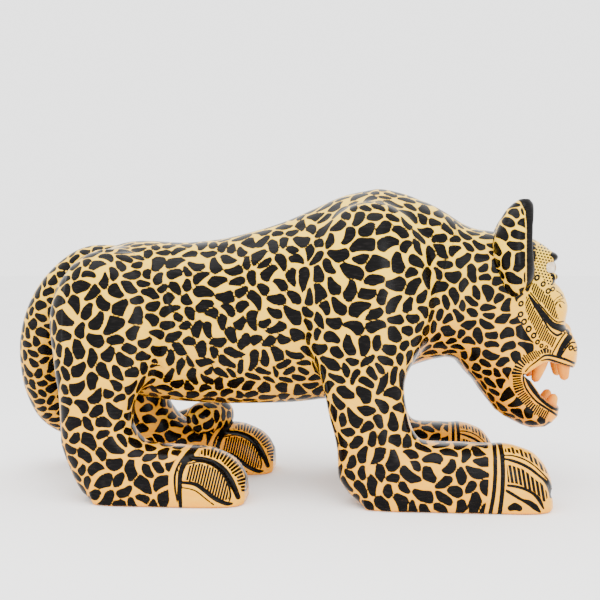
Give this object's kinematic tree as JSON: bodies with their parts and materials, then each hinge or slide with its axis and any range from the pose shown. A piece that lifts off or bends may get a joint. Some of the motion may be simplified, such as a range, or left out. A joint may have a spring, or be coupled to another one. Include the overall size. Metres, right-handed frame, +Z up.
{
  "type": "carved spotted wildcat figure",
  "caption": "Freestanding carved and lacquered spotted wildcat figure standing on four long paws, mouth open, tail wrapped round a hind leg.",
  "frame": {"origin": "under the middle of the whole figure, on the plane of the four soles", "axes": "+X towards the head, +Y towards the animal's left side, +Z up"},
  "size_m": [0.5166, 0.213, 0.2667],
  "materials": {
    "lacquered_wood": "cream-yellow ground with dense black brush-painted spots under a glossy clear lacquer",
    "bare_dowel_wood": "unfinished turned dowel, hidden inside the joints",
    "painted_teeth": "plain tan-orange paint, satin",
    "painted_eyes": "off-white paint with a black pupil, glossy"
  },
  "bodies": {
    "root": {"torso": "lacquered_wood", "head": "lacquered_wood", "ear_right": "lacquered_wood", "ear_left": "lacquered_wood", "eye_right": "painted_eyes", "eye_left": "painted_eyes", "upper_fang_right": "painted_teeth", "upper_fang_left": "painted_teeth", "upper_back_tooth_right": "painted_teeth", "upper_back_tooth_left": "painted_teeth", "lower_fang_right": "painted_teeth", "lower_fang_left": "painted_teeth", "foreleg_right": "lacquered_wood", "foreleg_left": "lacquered_wood", "hind_leg_right": "lacquered_wood", "hind_leg_left": "lacquered_wood", "tail": "lacquered_wood", "tail_dowel": "bare_dowel_wood", "leg_dowels": "bare_dowel_wood", "neck_dowels": "bare_dowel_wood", "ear_dowels": "bare_dowel_wood"}
  },
  "joints": []
}
